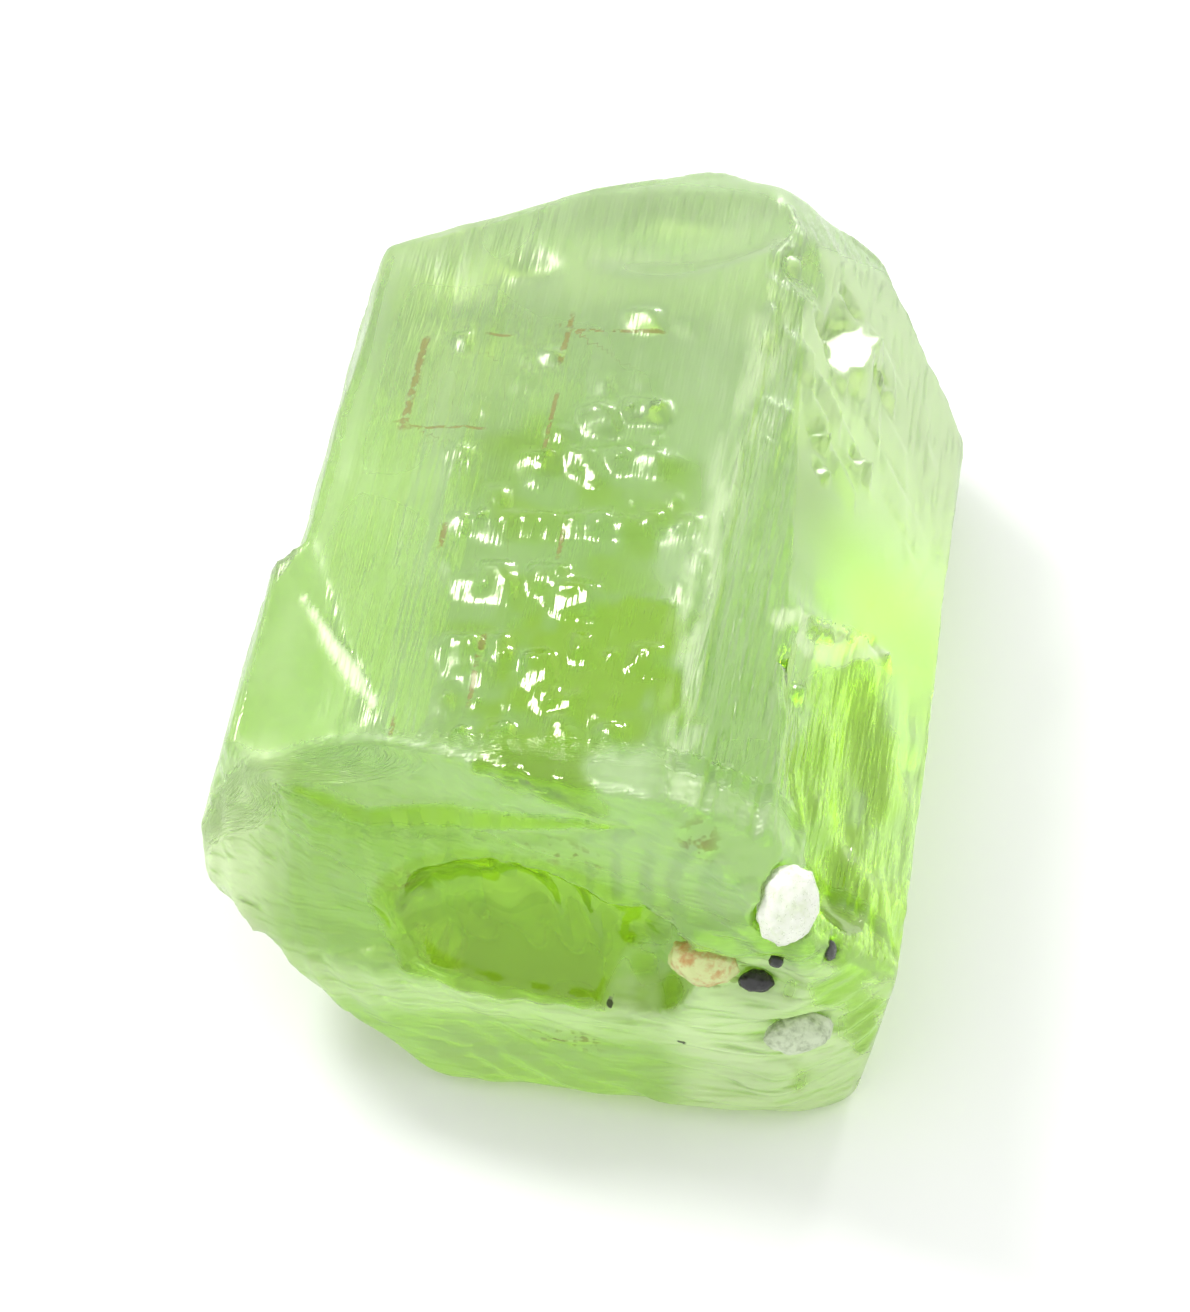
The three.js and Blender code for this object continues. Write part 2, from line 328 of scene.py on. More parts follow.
stageLook = {
    "floorColour": (0.86, 0.87, 0.86),
    "floorPatches": 0.98,  # how dark its faint patches are
    "floorRoughness": 0.9,
    "floorHalf": 1.2,      # metres
    "floorDrop": 0.02,     # millimetres under the crystal
    "skyColour": (1.0, 1.0, 1.0),
    "skyStrength": 1.11,
}

# Soft lamps: place and size in millimetres, power in watts. Few bounces keep their light out of
# the crystal's inside, where it would only make bright spots.
lampLooks = {
    # high, behind and to the left
    "windowLamp": {"place": (-190, 140, 280), "size": 88, "power": 0.75, "bounces": 2},
    # low, behind and to the right
    "backLamp": {"place": (120, 330, 90), "size": 60, "power": 0.4, "bounces": 1},
}


def makeFloor():
    look = stageLook
    material, tree = newMaterial("paleFloor")
    place = addNode(tree, "ShaderNodeTexCoord", out="Object")
    dark = tuple(look["floorPatches"] * c for c in look["floorColour"])
    colour = mixColour(look["floorColour"], dark, noise(tree, place, 30.0, 2.0, 0.55))
    surface = addNode(tree, "ShaderNodeBsdfPrincipled", None,
                      {"Base Color": colour, "Roughness": look["floorRoughness"]})
    addNode(tree, "ShaderNodeOutputMaterial", None, {"Surface": surface})
    half, level = look["floorHalf"], -look["floorDrop"] * toMetres
    corners = [(-half, -half, level), (half, -half, level), (half, half, level), (-half, half, level)]
    mesh = bpy.data.meshes.new("floor")
    mesh.from_pydata(corners, [], [(0, 1, 2, 3)])
    mesh.materials.append(material)
    floor = bpy.data.objects.new("floor", mesh)
    bpy.context.scene.collection.objects.link(floor)


def makeLight():
    world = bpy.data.worlds.new("softRoom")
    world.use_nodes = True
    sky = world.node_tree.nodes["Background"]
    sky.inputs["Color"].default_value = (*stageLook["skyColour"], 1)
    sky.inputs["Strength"].default_value = stageLook["skyStrength"]
    world.cycles.sampling_method = "NONE"  # one even colour needs no map of its bright spots
    bpy.context.scene.world = world
    for name, look in lampLooks.items():
        light = bpy.data.lights.new(name, "AREA")
        light.size = look["size"] * toMetres
        light.energy = look["power"]
        light.cycles.max_bounces = look["bounces"]
        lamp = bpy.data.objects.new(name, light)
        lamp.location = Vector(look["place"]) * toMetres
        lamp.rotation_euler = (-lamp.location).to_track_quat("-Z", "Y").to_euler()
        bpy.context.scene.collection.objects.link(lamp)
    bpy.context.scene.cycles.use_light_tree = False  # quicker with only two lamps
    bpy.context.scene.view_settings.view_transform = "Standard"


# The peridot crystal, in millimetres. A pair says where a change starts and ends, and the third
# number, if there is one, how soft both are.
crystalShape = {
    "voxel": 0.12,
    "smoothing": 20,           # rounds
    "wearRounds": 26,
    "evening": 10,             # rounds that even out the normals, before faces are told apart
    "faceEdge": (0.93, 0.985),  # cosines from which a point belongs to a face
    "blockEdge": (0.97, 0.99),
    "breakEdge": (0.45, 0.75),
    "hiddenEdge": (0.45, 0.8),
    "brokenFrom": (-6.2, -6.8),  # y of the broken end
    "etchedAcross": (-3.1, 2.1, 0.5),
    "etchedAlong": (-7.6, 6.0, 0.8),
    "hillockCell": (0.66, 0.85),  # across and along
    "hillockShare": 0.42,   # of the cells that hold a small shingle
    "cornerCell": (1.1, 1.0),
    "cornerShare": 0.6,
    "shingleRise": 0.6,
    "shingleSize": 1.25,
    "shingleSkew": 0.2,
    "dipRise": 0.05,        # between the shingles
    "cornerRise": 0.9,      # shingles by the ridge's far end
    "ribRise": 0.1,         # on the ridge band
    "grooveRise": 0.03,     # on the main face
    "lumpRise": 0.12,       # low on the right face
    "rightLineRise": 0.05,
    "sideRise": 0.05,       # lines on the hidden sides
    "terraceRise": 0.09,    # growth steps on the far end
    "terraceSteps": 3,      # in each unit of its noise
    "rippleRise": 0.05,     # on the curved breaks
    "rippleStart": (5.5, -9.0, 9.0),
    "rippleTurns": 9,       # radians to a millimetre
    "waveRise": 0.05,
    "unevenRise": 0.02,     # everywhere
    "footFade": (0.05, 0.6),  # z under which there is no relief
    "ridgeWidth": 0.42,
    "chippedDepth": 0.04,
    "chipDepth": 0.6,       # the most that a flat chip takes away
    "chippedEdge": [(-5.9, -2.5), (-4.9, -4.0), (-3.8, -5.5)],
    "wornRidge": [(2.9, 6.5), (2.8, 2.1), (2.56, -2.3), (2.9, -6.4), (3.6, -8.4)],
    # the pit's rim, along which a white highlight is painted
    "pitRim": [(4.3, -2.0), (5.3, -0.75), (6.4, 0.7)],
    "boxMargin": 0.002,     # inside the solid's box
}

# How far fine lines in the material's bump rise on each part
fineRises = {
    "band": 0.14,
    "side": 0.06,
    "end": 0.06,
    "leftPart": 0.05,
    "lowRight": 0.06,
    "curved": 0.07,
    "ridge": 0.04,
}

# The larger shingles on the main face: middle, half width and half length
shinglePlaces = [
    (-0.65, -1.87, 0.42, 0.36), (0.0, -2.4, 0.5, 0.4), (-0.38, 2.78, 0.4, 0.34), (0.57, 3.07, 0.46, 0.32),
    (-2.1, -4.05, 0.4, 0.45), (-1.35, -3.9, 0.26, 0.4), (-0.4, -4.4, 0.36, 0.42), (-1.8, -1.9, 0.36, 0.4),
    (1.85, -3.95, 0.3, 0.34), (-0.9, -6.3, 0.26, 0.34), (0.3, -6.0, 0.28, 0.4), (1.4, -6.15, 0.3, 0.34),
    (-0.6, 1.6, 0.36, 0.3), (0.95, 1.55, 0.34, 0.32), (0.2, 1.65, 0.36, 0.34), (0.1, 5.8, 0.34, 0.3),
    (-1.5, 1.5, 0.34, 0.26), (-3.3, 1.6, 0.3, 0.2), (-2.9, -0.35, 0.22, 0.26), (-2.4, -0.3, 0.2, 0.28),
    (-1.95, -0.35, 0.22, 0.3), (-1.45, -0.3, 0.2, 0.26), (-0.95, -0.3, 0.24, 0.3), (-0.4, -0.25, 0.22, 0.28),
    (0.15, -0.25, 0.26, 0.3), (0.7, -0.3, 0.24, 0.26), (1.3, -0.2, 0.24, 0.3), (2.1, -0.15, 0.26, 0.24),
    (-3.9, 5.0, 0.2, 0.24), (-1.8, 4.6, 0.22, 0.2), (2.5, -1.2, 0.2, 0.3), (-0.1, -5.1, 0.3, 0.26),
]

# Hollows in the broken end, as the solid has them: their walls are clear, and their colour gets the painted
# see-through lime and painted shade
hollowPlaces = [
    {"at": (0.1, -8.95, 6.15), "half": (3.3, 2.2, 1.85)},
    {"at": (2.35, -8.9, 5.9), "half": (1.5, 1.25, 1.3)},
]

# Curved steps on the broken end, seen from the front: half width, depth, and route in x and z
breakSteps = [
    {"width": 0.09, "depth": 0.12,
     "route": [(-5.7, 7.9), (-3.9, 7.62), (-1.2, 8.2), (0.8, 8.75), (2.1, 9.6)]},
    {"width": 0.07, "depth": 0.07,
     "route": [(-5.4, 8.15), (-3.6, 8.3), (-1.4, 8.95), (0.4, 9.3), (2.1, 9.7)]},
    {"width": 0.08, "depth": 0.08,
     "route": [(-4.8, 4.2), (-3.2, 4.9), (-1.0, 4.4), (0.8, 4.05), (3.0, 3.9)]},
    {"width": 0.1, "depth": 0.07,
     "route": [(-3.9, 2.4), (-1.6, 1.7), (1.2, 2.5), (3.5, 3.1), (5.6, 3.0)]},
    {"width": 0.1, "depth": 0.06,
     "route": [(-1.5, 2.9), (0.8, 3.2), (2.6, 2.4), (4.6, 1.9)]},
]

# Small flat chips, all turned one way, so that they catch the back lamp together: their middles
# seen from above, and half sizes across and along
chipsOut = Vector((0.243, 0.309, 0.919)).normalized()
chipPlaces = [
    ((4.5, 7.5), (0.58, 1.1)), ((4.3, 3.9), (0.2, 0.22)), ((4.5, 3.1), (0.18, 0.22)),
    ((5.2, 4.6), (0.2, 0.2)), ((4.7, -2.8), (0.26, 0.2)), ((6.3, 0.5), (0.26, 0.12)),
    ((3.4, 2.7), (0.2, 0.24)), ((5.3, 7.6), (0.2, 0.24)),
]
farAway = 9.0  # for points near no chip, line or dot


# How far each point is worn round, from 0 to 1
def wearOf(x, y, z):
    wear = between(3.6, 12.5, 0.8, y) * blend(4.6, 3.2, x)  # far part of the main face
    wear = wear + 0.8 * blend(-6.3, -7.2, y) * blend(-3.0, -5.2, x)  # left of the broken end
    wear = wear + 0.8 * blend(4.6, 3.0, z) * blend(-6.5, -7.5, y)  # low on the broken end
    wear = wear + 0.5 * blend(6.6, 7.6, x + 0.2 * np.abs(y))  # right side
    return np.clip(wear, 0, 1)


# How much each point belongs to each face or part, from 0 to 1
def partsOf(outward, x, y, z):
    shape = crystalShape

    def facing(direction, edge=shape["faceEdge"]):
        return blend(*edge, outward @ np.array(direction))

    on = SimpleNamespace()
    on.main = facing(mainFaceOut)
    on.band = facing(ridgeBandOut) * (1 - on.main)
    on.grown = on.main + on.band
    on.right = facing(rightFaceOut)
    on.block = facing(leftBlockOut, shape["blockEdge"]) * (1 - on.main)
    on.curved = blend(*shape["breakEdge"], -outward[:, 1])  # the curved breaks
    on.broken = blend(*shape["brokenFrom"], y)  # the whole broken end
    on.side = blend(*shape["hiddenEdge"], np.abs(outward[:, 0]))
    on.side = on.side * (1 - on.right) * (1 - on.block) * (1 - on.broken)
    on.end = blend(*shape["hiddenEdge"], outward[:, 1])
    on.etched = on.main * between(*shape["etchedAcross"], x + 0.12 * y) * between(*shape["etchedAlong"], y)
    on.etched = on.etched * (0.35 + 0.65 * blend(5.5, 1.0, y))
    on.leftPart = on.main * (0.35 + 0.65 * blend(-2.0, -3.6, x)) * blend(-6.0, -5.2, x)
    on.lowRight = on.right * blend(1.0, -1.5, y)
    on.corner = np.maximum(on.right, 0.6 * on.band) * between(3.2, 8.6, 0.7, y) * blend(7.0, 5.0, x)

    # worn ridge, rim of the pit, along which a white highlight is painted, and chipped line, with uneven
    # edges
    away = lineDistance(x, y, shape["wornRidge"])
    on.ridge = on.grown * np.exp(-(away / shape["ridgeWidth"]) ** 2)
    on.ridge = on.ridge * blend(-0.7, 0.3, softNoise(x * 5, y * 1.4, 64))
    away = lineDistance(x, y, shape["pitRim"])
    on.rim = blend(0.24, 0.1, away + 0.08 * softNoise(x * 4, y * 4, 66)) * blend(4.6, 5.4, z)
    away = lineDistance(x, y, shape["chippedEdge"])
    away = away - 0.03 - 0.12 * between(-5.1, -3.6, 0.8, y)
    on.chipped = blend(7.8, 8.4, z) * blend(0.08, -0.04, away + 0.04 * softNoise(x * 3, y * 3, 51))
    return on


# Fine relief: how far each point moves outwards
def reliefOf(x, y, z, on, quads):
    shape = crystalShape
    small = shingleField(x, y, shape["hillockCell"], 3, shape["hillockShare"])
    rise = shape["shingleRise"] * on.etched * (small - 0.04)
    for midX, midY, halfX, halfY in shinglePlaces:
        skewed = x - midX + shape["shingleSkew"] * (y - midY)
        one = shingle(skewed, y - midY, shape["shingleSize"] * halfX, shape["shingleSize"] * halfY)
        rise = np.maximum(rise, on.main * one)
    rise = rise - shape["dipRise"] * on.etched * softNoise(x * 1.3, y * 1.1, 5)
    rise = 0.5 * rise + 0.5 * neighbourMean(rise[:, None], quads)[:, 0]

    # the grown faces in sight: ribs, grooves, and shingles at the ridge's far corner
    ribs = layeredNoise((x * 7, y * 0.28), (x * 13, y * 0.5), 0.6, 21)
    grooves = layeredNoise((x * 4.5, y * 0.2), (x * 9, y * 0.33), 0.7, 31)
    rise = rise + shape["ribRise"] * on.band * ribs + shape["grooveRise"] * on.leftPart * grooves
    corner = shingleField(x * 1.4, y * 0.8 - z * 0.3, shape["cornerCell"], 14, shape["cornerShare"])
    rise = rise + shape["cornerRise"] * on.corner * (corner - 0.06)
    rise = rise + shape["lumpRise"] * on.lowRight * softNoise(y * 1.1 + 0.6 * z, z * 1.3, 46)
    rise = rise + shape["rightLineRise"] * on.lowRight * softNoise(y * 0.6, z * 4.0, 47)

    # the curved breaks: ripples about one point, which come and go
    startX, startY, startZ = shape["rippleStart"]
    away = np.hypot(np.hypot(x - startX, z - startZ), y - startY)
    ripples = np.sin(away * shape["rippleTurns"] + 2.0 * softNoise(x * 0.9, z * 0.9, 41))
    ripples = ripples * (0.4 + 0.6 * blend(-0.3, 0.6, softNoise(x * 0.5, z * 0.6, 42)))
    rise = rise + shape["rippleRise"] * on.curved * ripples
    rise = rise + shape["waveRise"] * on.curved * softNoise(x * 0.9, z * 1.3, 43)
    rise = rise + shape["unevenRise"] * softNoise(x * 1.4, y * 1.1 + z, 44)
    rise = rise * (1 - 0.8 * on.chipped) - shape["chippedDepth"] * on.chipped
    for step in breakSteps:
        away = lineDistance(x, z, step["route"])
        rise = rise - on.broken * step["depth"] * np.exp(-(away / step["width"]) ** 2)

    # the hidden faces: lines along the sides, and growth steps on the far end
    lines = layeredNoise((z * 3.2, y * 0.22), (z * 8, y * 0.5), 0.5, 81)
    rise = rise + shape["sideRise"] * on.side * lines
    slope = layeredNoise((x * 0.55 + 0.2 * z, z * 0.6), (x * 1.7, z * 1.5), 0.35, 83)
    terraces = np.round(slope * shape["terraceSteps"] - 0.2) / shape["terraceSteps"]
    rise = rise + shape["terraceRise"] * on.end * (terraces + 0.3 * slope)
    return rise * blend(*shape["footFade"], z)


# Cuts the small flat chips: gives the points, and for each chip how near they are to its middle
def chipsCut(points, outward, x, y):
    out = np.array(chipsOut)
    most = crystalShape["chipDepth"]
    place, nears = toCrystal(points), []
    height = place @ out
    beyond = 0.3 * softNoise(x * 3.6, y * 3.2, 71) + farAway * (outward[:, 2] < 0.2)
    for middle, half in chipPlaces:
        near = np.linalg.norm((place[:, :2] - middle) / half, axis=1) + beyond
        above = np.clip(height - np.median(height[near < 0.7]), -most, most)
        points = points - (above * blend(1.2, 0.85, near))[:, None] * (crystalTurn @ out)
        nears.append(near)
    return points, nears


# Clear places that look into the crystal: smoother, and with a more saturated lime painted into their colour
# for the light seen through them. Middle and half size, in millimetres
clearPlaces = [
    {"at": (0.2, -4.8, 10.2), "half": (2.3, 2.1, 0.8), "amount": 1.0},   # low on the main face
    {"at": (6.3, -4.0, 7.4), "half": (1.5, 3.4, 2.6), "amount": 0.75},   # pit in the right face
    {"at": (6.8, -6.5, 5.0), "half": (1.2, 2.2, 3.5), "amount": 0.8},
    {"at": (2.4, -8.2, 5.3), "half": (1.1, 1.3, 1.25), "amount": 1.0},   # right part of the hollow
]
clearSliver = [(-5.2, 8.05), (-3.6, 7.95), (-1.2, 8.6), (1.6, 9.45)]  # x and z, on the broken end

# Soft spots of rust, and black dots with their size, on the broken end
rustPlaces = [
    {"at": (0.5, -8.0, 8.35), "half": (1.3, 0.6, 0.4), "strength": 0.75},
    {"at": (-2.6, -8.0, 6.75), "half": (0.9, 0.7, 0.32), "strength": 0.8},
    {"at": (1.3, -7.6, 6.6), "half": (0.8, 1.2, 0.8), "strength": 0.7},
    {"at": (0.9, -8.5, 2.7), "half": (0.9, 0.5, 0.4), "strength": 0.9},
    {"at": (3.6, -8.2, 10.0), "half": (0.5, 0.6, 0.5), "strength": 0.8},
    {"at": (4.3, -8.6, 5.9), "half": (0.7, 0.6, 0.4), "strength": 0.9},
]
dotPlaces = [
    (1.84, -8.5, 4.2, 0.11), (6.78, -8.5, 4.07, 0.11), (3.43, -8.5, 3.37, 0.13), (0.6, -8.0, 8.0, 0.08),
]

# Thin brown lines along and across the main face: x or y of the line, and where it starts and ends
stainLines = [
    {"along": True, "at": -1.55, "from": 4.4, "to": 5.9, "width": 0.05},
    {"along": False, "at": 5.45, "from": -1.5, "to": 0.6, "width": 0.035},
    {"along": True, "at": -4.7, "from": 2.3, "to": 5.1, "width": 0.07},
    {"along": True, "at": -1.45, "from": 1.9, "to": 3.5, "width": 0.04},
    {"along": True, "at": -0.6, "from": -1.2, "to": -0.3, "width": 0.04},
    {"along": True, "at": -1.75, "from": -5.4, "to": -3.5, "width": 0.045},
    {"along": True, "at": -3.2, "from": -1.1, "to": -0.4, "width": 0.05},
    {"along": False, "at": 5.2, "from": -3.4, "to": -2.8, "width": 0.03},
    {"along": True, "at": -3.25, "from": -6.6, "to": -5.9, "width": 0.04},
    {"along": False, "at": 2.4, "from": -4.6, "to": -2.9, "width": 0.03},
]
stainUnit = 0.05   # width that the distances are given for
stainReach = 0.4   # beyond a line's ends
stainFade = 0.12   # at its ends

# Where the milky frost is more or less than plain
frostAmounts = {
    "plain": 0.68,
    "farGrown": 0.28,     # grown faces, towards the far end
    "leftEnd": 0.4,       # the broken end's parts
    "topEdge": 0.3,
    "lowBreak": 0.25,
    "rightBreak": 0.3,
    "topBand": -0.3,
    "leftPart": -0.3,     # the main face's left part
    "etched": -0.45,
    "block": -0.3,
    "band": 0.15,
    "nearBand": -0.15,
    "nearRight": -0.3,
    "patches": 0.15,
    "ridge": 0.5,
}

# How much opaque crust the worn and chipped parts have, and how much painted white highlight the pit's rim
# gets
crustAmounts = {"pale": 0.45, "chipped": 0.8, "rim": 0.5, "ridge": 0.28}


# How clear each point is, from 0 to 1
def clearOf(x, y, z, on):
    place = np.stack([x, y, z], axis=1)
    clear = np.zeros(len(x))
    blur = 0.45 * softNoise(x * 0.9 + 0.5 * y, y * 0.9 + z, 61) + 0.35 * softNoise(x * 2.5, y * 2 + 2 * z, 62)
    for spot in clearPlaces:
        clear = np.maximum(clear, spot["amount"] * blend(1.25, 0.7, reachOf(place, spot) + blur))
    patches = blend(-0.1, 0.8, softNoise(x * 1.1 + 0.3 * y, y * 1.5, 65))
    clear = np.maximum(clear, 0.6 * on.etched * blend(3.6, 2.0, y) * patches)
    for hollow in hollowPlaces:
        wall = blend(0.2, 0.08, np.abs(reachOf(place, hollow) - 1))
        clear = np.maximum(clear, wall * on.broken * blend(3.6, 2.9, x))
    return clear


# How milky each point is: 0 to 1, and more where the ridge is worn
def frostOf(x, y, z, on, clear):
    parts = {
        "farGrown": blend(-6.5, 3.5, y) * np.clip(on.grown + on.right, 0, 1),
        "leftEnd": blend(-4.6, -6.6, x) * on.broken,
        "topEdge": on.broken * blend(8.0, 8.8, z),
        "lowBreak": on.broken * blend(5.2, 4.2, z),
        "rightBreak": on.broken * blend(2.4, 4.0, x) * blend(7.6, 6.6, z),
        "topBand": on.broken * between(6.9, 8.1, 0.3, z),
        "leftPart": on.leftPart,
        "etched": on.etched * blend(1.6, 0.4, x),
        "block": on.block * blend(-6.8, -6.2, y),
        "band": on.band,
        "nearBand": on.band * blend(-3.0, -6.0, y),
        "nearRight": on.right * blend(-1.0, -4.0, y),
    }
    frost = frostAmounts["plain"] + sum(frostAmounts[part] * mask for part, mask in parts.items())
    frost = frost * (1 - clear) + frostAmounts["patches"] * softNoise(x * 0.6, y * 0.6 + z * 0.5, 63)
    return np.maximum(np.clip(frost, 0, 1) + frostAmounts["ridge"] * on.ridge * (1 - clear), on.rim)


# Opaque pale crust: on the broken end's left, top edge, low strip and low right. Far on the grown faces, a
# pale cover that is partly frosting and partly a painted whitish sheen
def paleOf(x, y, z, on, clear):
    broken = blend(-5.0, -6.8, x) * blend(-5.6, -6.8, y) + 0.15 * on.broken * blend(7.8, 8.6, z)
    broken = broken + 0.6 * on.broken * blend(4.6, 4.0, z) * blend(2.6, 3.4, z)
    broken = broken + 0.8 * on.broken * blend(2.8, 4.0, x) * blend(7.2, 6.2, z)
    # far on the grown faces: paler, partly a painted whitish sheen
    farMainSheen, farRightSheen = 0.18 * blend(5.5, 8.5, y), 0.6 * on.right * blend(2.0, 5.0, y)
    return np.clip(np.maximum.reduce([broken, farMainSheen, farRightSheen]), 0, 1) * (1 - clear)


# Signed distance to the nearest stain line, and how strong that line is there
def stainDistances(x, y):
    side = np.full(len(x), farAway)
    run = np.zeros(len(x))
    for line in stainLines:
        across, along = (x, y) if line["along"] else (y, x)
        offset = (across - line["at"]) * stainUnit / line["width"]
        nearer = (along > line["from"] - stainReach) & (along < line["to"] + stainReach)
        nearer &= np.abs(offset) < np.abs(side)
        side = np.where(nearer, offset, side)
        run = np.where(nearer, between(line["from"], line["to"], stainFade, along), run)
    return side, run


def rustAndDots(place):
    rust, dots = np.zeros(len(place)), np.full(len(place), farAway)
    for spot in rustPlaces:
        rust = np.maximum(rust, spot["strength"] * blend(1.3, 0.3, reachOf(place, spot)))
    for *middle, size in dotPlaces:
        dots = np.minimum(dots, np.linalg.norm((place - middle) * (1, 0.4, 1), axis=1) / size)
    return rust, dots


# What the material reads at each point
def crystalLayers(x, y, z, on, nears):
    clear = clearOf(x, y, z, on)
    # Painted shade: a darker olive tint on the hollow walls and clear places of the broken end, on the broken
    # end below its top strip, and on a band of the right face
    deep = clear * on.broken + 0.8 * on.right * between(0.2, 3.4, 1.8, y)
    deep = deep + 0.55 * on.broken * blend(9.2, 8.2, z)
    away = lineDistance(x, z, clearSliver) + 0.06 * np.abs(x + 2)
    clear = np.maximum(clear, on.broken * blend(0.36, 0.2, away))
    frost = frostOf(x, y, z, on, clear)
    crust = {"pale": paleOf(x, y, z, on, clear), "chipped": on.chipped, "rim": on.rim, "ridge": on.ridge}
    fine = {part: getattr(on, part) for part in fineRises}
    fine["curved"] = fine["curved"] * (1 - clear)
    for near in nears:  # chips are smooth
        frost = frost * (0.75 + 0.25 * blend(0.8, 1.1, near))
        clear = clear * blend(0.8, 1.1, near)
    stainSide, stainRun = stainDistances(x, y)
    rust, dots = rustAndDots(np.stack([x, y, z], axis=1))
    return {
        "fineRise": sum(fineRises[part] * mask for part, mask in fine.items()),
        "broken": on.broken, "frost": frost, "clear": clear, "deep": np.clip(deep, 0, 1),
        "stainSide": stainSide, "stainRun": stainRun * on.main, "rust": rust, "dots": dots,
        "pale": np.maximum.reduce([crustAmounts[part] * mask for part, mask in crust.items()]),
    }


def makeCrystal():
    shape = crystalShape
    points, quads = remeshed(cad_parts["peridot_crystal"], shape["voxel"])
    points = smoothed(points, quads, shape["smoothing"])
    points = worn(points, quads, shape["wearRounds"], wearOf(*toCrystal(points).T))
    normals = normalsOf(points, quads)
    broad = normals
    for _ in range(shape["evening"]):
        broad = neighbourMean(broad, quads)
    outward = broad / np.linalg.norm(broad, axis=1)[:, None] @ crystalTurn

    x, y, z = toCrystal(points).T
    on = partsOf(outward, x, y, z)
    points = points + normals * reliefOf(x, y, z, on, quads)[:, None]
    points, nears = chipsCut(points, outward, x, y)
    low, high = (np.array(corner) / toMetres for corner in cadBox)
    points = np.clip(points, low + shape["boxMargin"], high - shape["boxMargin"])

    piece = meshPiece("peridotCrystal", points, quads, crystalLayers(x, y, z, on, nears))
    piece.data.materials.append(peridotMaterial())
    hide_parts("peridot_crystal")
    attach(piece, "root")
    print("crystal made:", len(points), "points,", 2 * len(quads), "triangles")


peridotLook = {
    "transmission": 0.9,
    "ior": 1.65,
    "absorbColour": (0.8, 0.955, 0.02),
    "absorbDensity": 168.0,
    "specularTint": (1.0, 1.0, 0.8),
    "frostTint": (0.82, 0.98, 0.6),
    # lime painted in for the light seen through clear places
    "paintedSeeThroughTint": (0.8, 1.0, 0.14),
    # darker olive, painted in as shade
    "paintedShadeTint": (0.58, 0.74, 0.1),
    "paleTint": (0.82, 0.95, 0.6),
    "dotTint": (0.03, 0.03, 0.02),
    "stainTint": (0.2, 0.16, 0.03),
    "frostRoughness": 0.36,
    "clearRoughness": 0.1,
    "coatIor": 2.1,
    "coatRoughness": 0.55,
    "frostCoat": 0.62,           # and none where the crystal is clear
    "crustRoughness": 0.5,
    "crustMost": 0.9,            # of the surface that crust may cover
    "stainCover": 0.75,
    "grainScale": 5.0,           # to a millimetre
    "alongLines": (9.0, 0.7, 3.5),   # fine lines along the grown faces
    "acrossLines": (0.7, 3.0, 6.0),  # and across the broken end
    "grainInFrost": 0.4,
    "linesInFrost": 1.1,         # on the broken end
    "stainWander": 0.1,          # millimetres
    "stainWidth": (0.03, 0.09),
}


def peridotMaterial():
    look = peridotLook
    material, tree = newMaterial("peridot")
    place = crystalPlace(tree)
    names = ("fineRise", "broken", "frost", "clear", "stainSide", "stainRun", "rust", "dots", "pale", "deep")
    layer = {name: addNode(tree, "ShaderNodeAttribute", {"attribute_name": name}, out="Fac")
             for name in names}
    grain = noise(tree, place, look["grainScale"], 1.0)
    along, across = (stretched(tree, place, look[lines]) for lines in ("alongLines", "acrossLines"))
    turned = addNode(tree, "ShaderNodeMix", {"data_type": "VECTOR"},
                     {0: layer["broken"], 4: along, 5: across}, out=1)  # 4, 5 and 1 are vectors
    lines = noise(tree, turned, 1.0, 1.0)

    # brown lines and rust, broken up and wandering a little
    offset = abs(layer["stainSide"] + look["stainWander"] * (grain - 0.5))
    stains = (1 - offset.ramp(*look["stainWidth"])) * layer["stainRun"] * grain.ramp(0.32, 0.52)
    stains = stains.max(layer["rust"] * (grain * 0.5 + lines * 0.5).ramp(0.5, 0.62))
    dots = 1 - (layer["dots"] + grain - 0.5).ramp(0.7, 1.0)

    frost = layer["frost"] + look["grainInFrost"] * (grain - 0.5)
    frost = (frost + look["linesInFrost"] * layer["broken"] * (lines - 0.5)).max(0.0).min(1.0)
    # clear places get the painted lime of light seen through the crystal
    colour = mixColour(look["frostTint"], look["paintedSeeThroughTint"], layer["clear"])
    # darkens the colour with painted shade where this layer is
    colour = mixColour(colour, look["paintedShadeTint"], layer["deep"])
    roughness = look["clearRoughness"] + (look["frostRoughness"] - look["clearRoughness"]) * layer["frost"]
    coat = look["frostCoat"] * frost * (1 - layer["clear"])
    bump = addNode(tree, "ShaderNodeBump", None,
                   {"Strength": 1.0, "Distance": toMetres, "Height": layer["fineRise"] * lines})

    stone = addNode(tree, "ShaderNodeBsdfPrincipled", None, {
        "Base Color": colour, "Roughness": roughness, "IOR": look["ior"],
        "Transmission Weight": look["transmission"], "Specular Tint": look["specularTint"], "Normal": bump,
        "Coat Weight": coat, "Coat Roughness": look["coatRoughness"], "Coat IOR": look["coatIor"]})
    bruised = mixColour(look["paleTint"], look["stainTint"], stains.ramp(0.0, 0.15))
    crust = addNode(tree, "ShaderNodeBsdfPrincipled", None, {
        "Base Color": mixColour(bruised, look["dotTint"], dots),
        "Roughness": look["crustRoughness"], "Normal": bump})
    cover = (look["stainCover"] * stains).max(dots).max(layer["pale"] * lines.ramp(0.15, 0.55))
    cover = cover.min(look["crustMost"])
    surface = addNode(tree, "ShaderNodeMixShader", None, {0: cover, 1: stone, 2: crust})
    inside = addNode(tree, "ShaderNodeVolumeAbsorption", None,
                     {"Color": look["absorbColour"], "Density": look["absorbDensity"]})
    addNode(tree, "ShaderNodeOutputMaterial", None, {"Surface": surface, "Volume": inside})
    return material


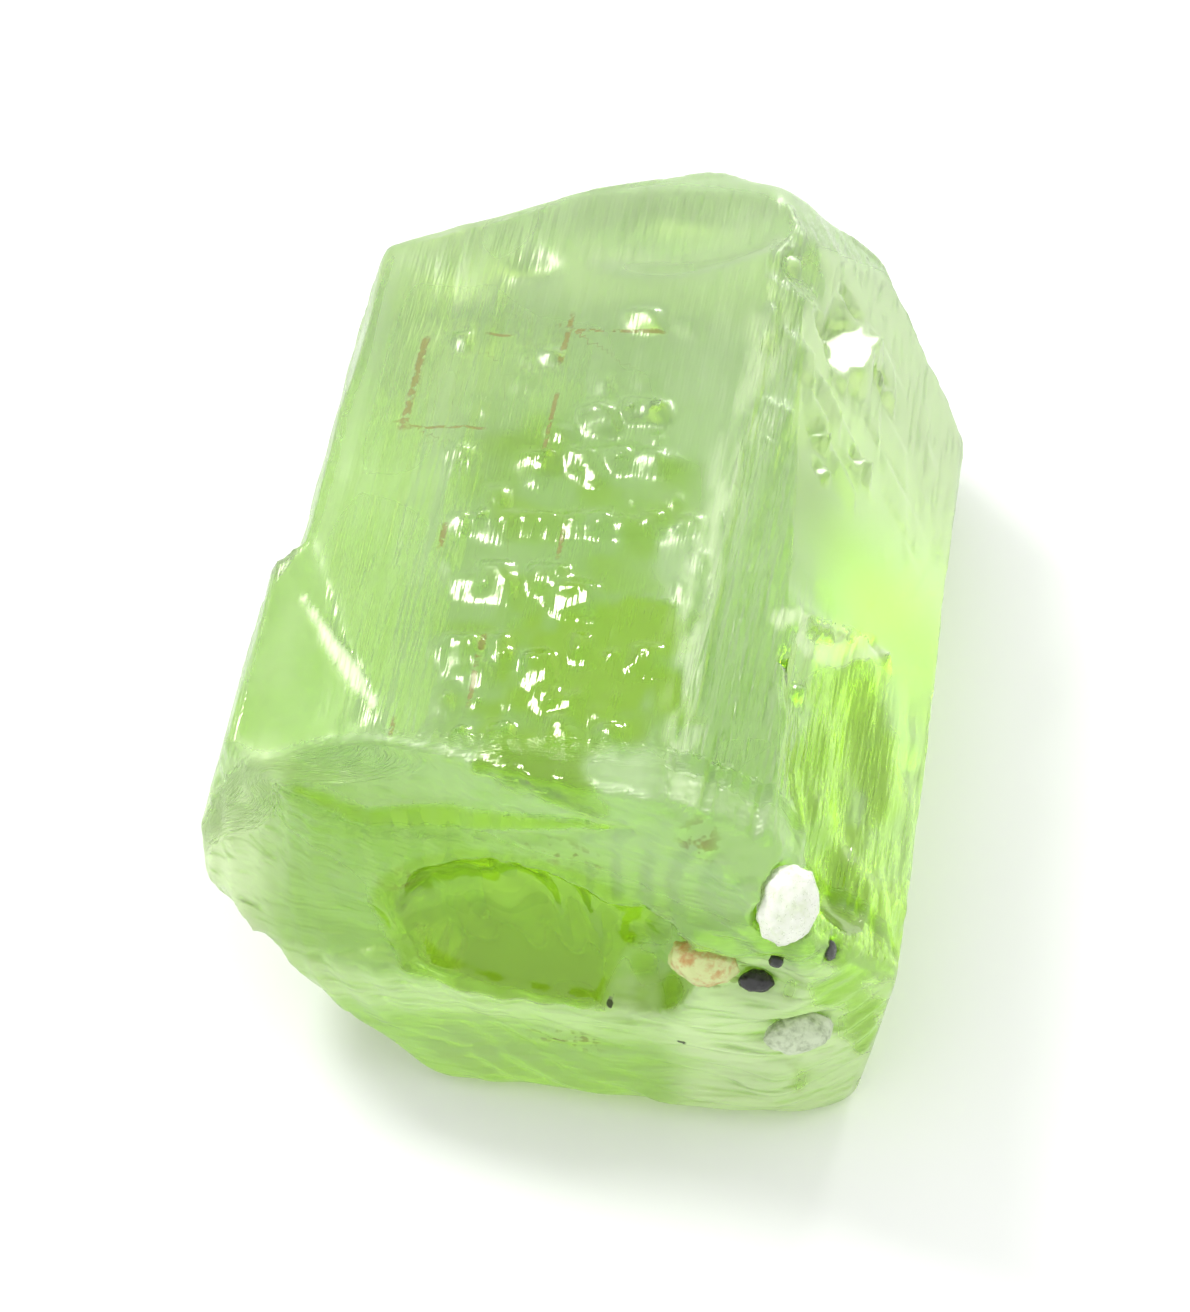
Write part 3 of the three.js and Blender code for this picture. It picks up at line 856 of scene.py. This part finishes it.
# Grains of other minerals
grainShape = {
    "voxel": 0.035,
    "smoothing": 2,      # rounds
    "lumpRise": 0.03,
    "roughRise": 0.012,
    "inset": 0.02,
    "firstSeed": 60,
}
grainFinish = {
    "ior": 1.5,
    "patchScale": 2.6,   # to a millimetre
    "speckScale": 9.0,
    "speckRoughness": 0.25,
    "bumpStrength": 0.6,
    "patchBump": 0.06,
    "speckBump": 0.02,
}
grainLooks = {
    "white_grain": {"colour": (0.93, 0.96, 0.85), "dark": (0.76, 0.84, 0.62),
                    "roughness": 0.3, "clear": 0.2, "slot": "white_mineral"},
    "cream_grain": {"colour": (0.66, 0.74, 0.32), "dark": (0.55, 0.28, 0.08),
                    "roughness": 0.4, "clear": 0.15, "slot": "cream_mineral"},
    "grey_grain": {"colour": (0.74, 0.84, 0.6), "dark": (0.3, 0.38, 0.2),
                   "roughness": 0.4, "clear": 0.3, "slot": "grey_mineral"},
    "black_grain_upper": {"colour": (0.03, 0.035, 0.03), "dark": (0.01, 0.01, 0.01),
                          "roughness": 0.18, "clear": 0.0, "slot": "black_mineral"},
    "black_grain_side": {"colour": (0.05, 0.055, 0.045), "dark": (0.02, 0.02, 0.02),
                         "roughness": 0.25, "clear": 0.0, "slot": "black_mineral"},
    "black_grain_lower": {"colour": (0.03, 0.03, 0.03), "dark": (0.01, 0.01, 0.01),
                          "roughness": 0.22, "clear": 0.0, "slot": "black_mineral"},
}


def makeGrain(node, look, seed):
    shape = grainShape
    points, quads = remeshed(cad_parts[node], shape["voxel"])
    points = smoothed(points, quads, shape["smoothing"])
    x, y, z = (points - points.mean(axis=0)).T
    rise = shape["lumpRise"] * softNoise(x * 4 + z, y * 4 - z, seed) - shape["inset"]
    rise = rise + shape["roughRise"] * softNoise(x * 11 + z * 3, y * 11, seed + 1)
    points = points + normalsOf(points, quads) * rise[:, None]
    words = node.split("_")
    piece = meshPiece(words[0] + "".join(word.title() for word in words[1:]), points, quads)
    piece.data.materials.append(grainMaterial(piece.name, look))
    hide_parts(node)
    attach(piece, "root")


def grainMaterial(name, look):
    finish = grainFinish
    material, tree = newMaterial(name)
    place = crystalPlace(tree)
    patches = noise(tree, place, finish["patchScale"], 4.0)
    specks = noise(tree, place, finish["speckScale"], 3.0)
    colour = mixColour(look["dark"], look["colour"], (patches * 0.7 + specks * 0.3).ramp(0.32, 0.58))
    height = finish["patchBump"] * patches + finish["speckBump"] * specks
    bump = addNode(tree, "ShaderNodeBump", None,
                   {"Strength": finish["bumpStrength"], "Distance": toMetres, "Height": height})
    surface = addNode(tree, "ShaderNodeBsdfPrincipled", None, {
        "Base Color": colour, "Roughness": look["roughness"] + finish["speckRoughness"] * (specks - 0.5),
        "Normal": bump, "Transmission Weight": look["clear"], "IOR": finish["ior"]})
    addNode(tree, "ShaderNodeOutputMaterial", None, {"Surface": surface})
    return material


makeCamera()
makeFloor()
makeLight()
print("camera and stage made")
makeCrystal()
for seed, (node, look) in enumerate(grainLooks.items()):
    makeGrain(node, look, grainShape["firstSeed"] + seed)
print("grains made")
